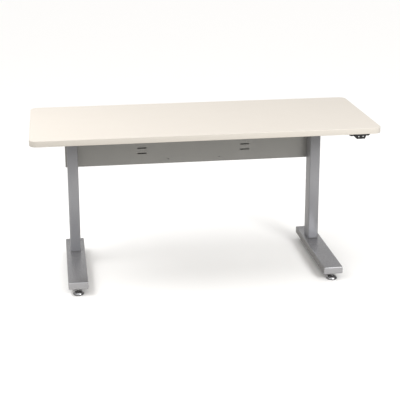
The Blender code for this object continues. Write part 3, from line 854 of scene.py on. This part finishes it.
def support_arms():
    """Folded channels under the worktop, with the screws that hold the board down on them."""
    for side in SIDES:
        node = "support_arm_" + side
        at, size = middle(node), extent(node)
        wall, tip, slope = 0.0025, 0.012, 0.050
        half, rise = size.y / 2, size.z / 2

        def outline(inset, up):
            reach = half - inset
            ends = [(reach, rise + up), (reach, rise - tip + inset), (reach - slope, inset - rise)]
            return ends + [(-y, z) for y, z in reversed(ends)]

        outer = moved(skin([along("X", outline(0, 0), level) for level in (-0.030, 0.030)]), *at)
        inner = size.x / 2 - wall
        trough = moved(skin([along("X", outline(wall, wall), level)
                             for level in (-inner, inner)]), *at)
        arm = carved(as_object("top_arm_" + side, outer, SILVER), trough)
        bevel(arm, 0.0009)
        fit(arm, "lift", (node,))
        screws = row_recipe("board_screws", 0.130, 3, 0.036, 2, FINISHES["zinc"],
                            modelled(spun(pan_head(0.0046, 0.0024, 20), math.pi, "X")))
        screws.grow("board_screws_" + side, "lift", "zinc",
                    (at.x, at.y - 0.055, at.z - rise + 0.0001))


def bevel(obj, width, segments=2, angle=30):
    """Softens an object's edges that turn by more than an angle in degrees."""
    soft = obj.modifiers.new("Soft", "BEVEL")
    soft.width = width
    soft.segments = segments
    soft.limit_method = "ANGLE"
    soft.angle_limit = math.radians(angle)
    settle(obj)


def drive():
    """Motors, gearboxes, worms, wheels, bearings and spindles."""
    for side, sign in SIDES.items():
        motor(side, sign)
        wheel = middle("worm_wheel_" + side)
        radius, height = extent("worm_wheel_" + side).x / 2, extent("worm_wheel_" + side).z
        hub = lathe([(0.0083, -height / 2), (0.0112, -height / 2), (0.0114, -height / 2 + 0.0006),
                     (0.0114, height / 2 - 0.0006), (0.0112, height / 2), (0.0083, height / 2)], 60)
        piece("wheel_hub_" + side, moved(hub, *wheel), "spindle_" + side, "bronze",
              ("worm_wheel_" + side,))
        teeth = ring_recipe("wheel_teeth", radius - 0.0012, 20, FINISHES["bronze"],
                            boxed(0.0022, 0.0019, height * 0.92))
        teeth.grow("wheel_teeth_" + side, "spindle_" + side, "bronze", wheel)
        spindle(side)
        worm(side, sign)
        bearing(side)


def spindle(side):
    """The lifting screw: a plain top with its collar, above the thread."""
    node = "spindle_" + side
    low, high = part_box(node)
    at = middle(node)
    collar_top, collar_low = high[2], high[2] - 0.0038
    root, crest = 0.0066, 0.0080
    rod = [(0, low[2]), (root - 0.0014, low[2]), (root, low[2] + 0.0016), (root, 0.6150),
           (crest, 0.6170), (crest, collar_low), (0.0108, collar_low), (0.0110, collar_low + 0.0003),
           (0.0110, collar_top - 0.0004), (0.0106, collar_top), (0, collar_top)]
    piece("lifting_screw_" + side, moved(lathe(rod, 48), at.x, at.y, 0), node, "steel", (node,))
    length = 0.6140 - low[2] - 0.003
    thread = thread_recipe("spindle_thread", 0.0078, 0.0022, 0.0030, length, FINISHES["steel"])
    thread.grow("spindle_thread_" + side, node, "steel", (at.x, at.y, low[2] + 0.003))


def worm(side, sign):
    """The worm on its shaft, whose outer end goes into the motor."""
    node = "worm_" + side
    at = middle(node)
    centre = middle("worm_wheel_" + side).x
    levels = [(0, 0.018), (0.0046, 0.018), (0.0050, 0.0176), (0.0050, -0.0150), (0.0030, -0.0165),
              (0.0030, -0.0362), (0, -0.0365)]
    shaft = lathe([(radius, centre + sign * level) for radius, level in levels], 32, "X")
    piece("worm_shaft_" + side, moved(shaft, 0, at.y, at.z), node, "steel", (node,))
    thread = thread_recipe("worm_thread", 0.0064, 0.0022, 0.0042, 0.028, FINISHES["steel"])
    start = Vector((centre - 0.014 + sign * 0.001, at.y, at.z))
    thread.grow("worm_thread_" + side, node, "steel", start, Matrix.Rotation(QUARTER, 4, "Y"))


def bearing(side):
    """A ball bearing that carries the spindle's collar."""
    node = "spindle_bearing_" + side
    at, size = middle(node), extent(node)
    rim, half = size.x / 2, size.z / 2
    inner = lathe([(0.0083, -half), (0.0095, -half), (0.0097, 0), (0.0095, half), (0.0083, half)], 48)
    outer = lathe([(rim - 0.0014, -half), (rim, -half), (rim, half), (rim - 0.0014, half),
                   (rim - 0.0012, 0)], 48)
    piece("bearing_rings_" + side, moved(merged(inner, outer), *at), "lift", "zinc", (node,))
    balls = ring_recipe("bearing_balls", (0.0097 + rim - 0.0014) / 2, 16, FINISHES["chrome"],
                        ball(0.0006))
    balls.grow("bearing_balls_" + side, "lift", "chrome", at)


def motor(side, sign):
    """The motor's can with its end bell, seam groove, shaft hole and two screws."""
    node = "motor_" + side
    at, size = middle(node), extent(node)
    can, half = size.y / 2, size.x / 2
    face = sign * half
    profile = [(0, face), (can - 0.0036, face), (can - 0.0030, face - sign * 0.0005),
               (can - 0.0030, face - sign * 0.0095), (can - 0.0004, face - sign * 0.0115),
               (can, face - sign * 0.0125), (can, -face + sign * 0.0165),
               (can - 0.0010, -face + sign * 0.0155), (can - 0.0010, -face + sign * 0.0130),
               (can - 0.0002, -face + sign * 0.0120), (can - 0.0004, -face + sign * 0.0070),
               (can - 0.0040, -face + sign * 0.0018), (can - 0.0100, -face + sign * 0.0004),
               (0.0090, -face + sign * 0.0004), (0.0080, -face), (0, -face)]
    shape = lathe(profile, 72, "X")
    motor_can = as_object("lift_motor_" + side, moved(shape, *at), FINISHES["motor_black"])
    carved(motor_can, moved(drill(0.0036, 0.012, "X", 24), at.x + face, at.y, at.z))
    fit(motor_can, "lift", (node,))
    heads = []
    for angle in (45, 225):
        lift = Vector((0, math.cos(math.radians(angle)), math.sin(math.radians(angle)))) * 0.0150
        head = spun(pan_head(0.0026, 0.0016, 20), -sign * QUARTER, "Y")
        heads.append(moved(head, at.x - face + sign * 0.0004, at.y + lift.y, at.z + lift.z))
    piece("motor_screws_" + side, merged(*heads), "lift", "zinc")


def control_box():
    """The controller's vented case on its base, with four screws."""
    node = "control_box"
    at, size = middle(node), extent(node)
    base_height = size.z * 0.34
    lower = bar((size.x, size.y, size.z - base_height - 0.0006), "Z", 0.006, 0.0022, 8)
    upper = bar((size.x - 0.0016, size.y - 0.0016, base_height), "Z", 0.0055, 0.0004, 8)
    moved(lower, at.x, at.y, at.z - base_height / 2 - 0.0003)
    moved(upper, at.x, at.y, at.z + (size.z - base_height) / 2)
    lid = as_object("controller_case", lower, FINISHES["black_plastic"])
    inlet, inlet_size = middle("power_inlet"), extent("power_inlet")
    pocket = bar((inlet_size.x + 0.004, inlet_size.y + 0.0004, inlet_size.z + 0.0004), "X", 0.0015,
                 0.0001, 3)
    vents = [moved(bar((0.0018, 0.050, 0.004), "Z", 0.0008, 0.0001, 2), at.x + offset, at.y,
                   at.z - size.z / 2) for offset in (0.020 + 0.006 * i for i in range(12))]
    carved(lid, moved(pocket, inlet.x - 0.001, inlet.y, inlet.z), *vents)
    fit(lid, "lift", (node,))
    piece("controller_base", upper, "lift", "black_plastic")
    power_inlet(inlet, inlet_size)
    edge = 0.009
    screws = row_recipe("controller_screws", size.y - 2 * edge, 2, size.x - 2 * edge, 2,
                        FINISHES["zinc"], modelled(spun(pan_head(0.0030, 0.0016, 20), math.pi, "X")))
    screws.grow("controller_screws", "lift", "zinc", (at.x, at.y, at.z - size.z / 2 + 0.0002))


def power_inlet(at, size):
    """A three-pin mains inlet in the controller's left end."""
    shell = as_object("mains_inlet", moved(bar(size, "X", 0.002, 0.0004, 4), *at), FINISHES["nylon"])
    mouth = bar((0.010, size.y - 0.0050, size.z - 0.0050), "X", 0.0025, 0.0001, 3)
    carved(shell, moved(mouth, at.x - size.x / 2 + 0.0035, at.y, at.z))
    fit(shell, "lift", ("power_inlet",))
    pins = []
    for across, up in ((-0.007, -0.0015), (0.0, 0.0022), (0.007, -0.0015)):
        pin = bar((0.0075, 0.0020, 0.0040), "X", 0.0004, 0.0003, 2)
        pins.append(moved(pin, at.x - size.x / 2 + 0.0048, at.y + across, at.z + up))
    piece("inlet_pins", merged(*pins), "lift", "zinc")


def handset():
    """The hand control's case, its buttons with their arrows, and its screws."""
    node = frame["nodes"]["handset_case"]
    mesh = node.data.copy()
    case = bpy.data.objects.new("hand_control", mesh)
    bpy.context.scene.collection.objects.link(case)
    shape = bmesh.new()
    shape.from_mesh(mesh)
    bmesh.ops.remove_doubles(shape, verts=shape.verts, dist=0.00002)
    bmesh.ops.dissolve_limit(shape, angle_limit=math.radians(1), verts=shape.verts,
                             edges=shape.edges)
    shape.to_mesh(mesh)
    shape.free()
    mesh.materials.clear()
    mesh.materials.append(FINISHES["black_plastic"])
    bevel(case, 0.0007, 3, 25)
    fit(case, "lift", ("handset_case",))
    for way, flip in (("up", 1), ("down", -1)):
        name = "button_" + way
        at, size = middle(name), extent(name)
        low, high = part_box(name)
        key_depth = 0.0055
        key = bar((size.x, key_depth, size.z), "Y", 0.0022, 0.0008, 6)
        moved(key, at.x, high[1] - key_depth / 2, at.z)
        piece("key_" + way, key, name, "black_plastic", (name,))
        face_y = high[1] - key_depth
        corners = [(math.cos(a) * 0.0040, math.sin(a) * 0.0038 * flip)
                   for a in (QUARTER + i * 2 * math.pi / 3 for i in range(3))]
        arrow = skin([along("Y", [(at.x + u * scale, at.z + v * scale) for u, v in corners], level)
                      for level, scale in ((face_y + 0.0004, 1.0), (face_y - 0.0004, 1.0),
                                           (face_y - 0.0006, 0.92))])
        piece("arrow_" + way, arrow, name, "black_plastic", finish=INK)
    for side in SIDES:
        name = "handset_screw_" + side
        low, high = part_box(name)
        at = middle(name)
        head = spun(pan_head(0.0039, 0.0018, 24), math.pi, "X")
        moved(head, at.x, at.y, low[2] + 0.0019)
        shank = lathe([(0, low[2] + 0.0018), (0.0018, low[2] + 0.0018), (0.0018, high[2]),
                       (0, high[2])], 20)
        piece("case_screw_" + side, merged(head, moved(shank, at.x, at.y, 0)), "lift", "zinc", (name,))


def recoat():
    """Gives each CAD node that stays its slot's finish."""
    slots = {entry["node"]: entry["material_slot"] for entry in frame["record"]["subparts"]}
    for name, obj in frame["nodes"].items():
        obj.data.materials.clear()
        obj.data.materials.append(FINISHES[slots[name]])


# ---------------------------------------------------------------- stage

def stage():
    """A wide pale floor, just under the glides."""
    mesh = bpy.data.meshes.new("floor")
    shape = bmesh.new()
    bmesh.ops.create_grid(shape, x_segments=1, y_segments=1, size=60)
    shape.to_mesh(mesh)
    shape.free()
    mesh.materials.append(studio_floor())
    floor = bpy.data.objects.new("floor", mesh)
    bpy.context.scene.collection.objects.link(floor)
    floor.location.z = -0.0005


def softbox(name, place, aim, size, power):
    """A rectangular lamp that faces the point it is aimed at."""
    light = bpy.data.lights.new(name, "AREA")
    light.shape = "RECTANGLE"
    light.size, light.size_y = size
    light.energy = power
    obj = bpy.data.objects.new(name, light)
    bpy.context.scene.collection.objects.link(obj)
    obj.location = place
    obj.rotation_euler = (Vector(aim) - Vector(place)).to_track_quat("-Z", "Y").to_euler()


def lights():
    """Two softboxes, and a studio that glows most from above."""
    softbox("overhead_box", (-1.5, -0.2, 2.1), (-0.6, 0, 0.7), (1.2, 1.0), 19)
    softbox("front_fill", (1.5, -2.7, 2.0), (0.3, 0, 0.3), (1.0, 1.0), 60)
    world = bpy.data.worlds.new("studio")
    bpy.context.scene.world = world
    world.use_nodes = True
    tree = Nodes(world.node_tree)
    way = tree.node("ShaderNodeTexCoord", output="Generated")

    def facing(x, y, z):
        """How nearly a direction in the room is this one."""
        aim = Vector((x, y, z)).normalized()
        return tree.node("ShaderNodeVectorMath", {"operation": "DOT_PRODUCT"}, {0: way, 1: aim},
                         output=1)

    overhead = facing(-0.20, -0.25, 0.95).above(0.62, 0.36)
    backdrop = facing(0.0, 1.0, 0.15).above(0.55, 0.5)
    glow = overhead * 1.32 + backdrop * 0.5 + 0.155
    seen = tree.node("ShaderNodeLightPath", output="Is Camera Ray")
    color = tree.node("ShaderNodeMix", {"data_type": "RGBA"}, {0: seen, 6: glow, 7: (1, 1, 1, 1)},
                      output=2)
    tree.tree.links.new(color.socket, world.node_tree.nodes["Background"].inputs["Color"])
    bpy.context.scene.view_settings.view_transform = "Standard"


def camera():
    """A camera at a standing eye's height, left of the middle, looking a little down."""
    place = Vector((-0.6485, -4.4782, 1.8587))
    yaw, pitch = 0.154, 0.2667
    focal, film = 92.42, 36.0
    made = bpy.data.cameras.new("camera")
    made.lens = focal
    made.sensor_width = film
    made.shift_x, made.shift_y = -0.025, -0.15
    obj = bpy.data.objects.new("camera", made)
    bpy.context.scene.collection.objects.link(obj)
    obj.location = place
    obj.rotation_euler = (QUARTER - pitch, 0, -yaw)
    bpy.context.scene.camera = obj


recoat()
worktop()
columns()
guides()
feet()
glides()
crossbeam()
support_arms()
drive()
control_box()
handset()
for pattern in PATTERNS:
    bpy.data.objects.remove(pattern, do_unlink=True)
stage()
lights()
camera()
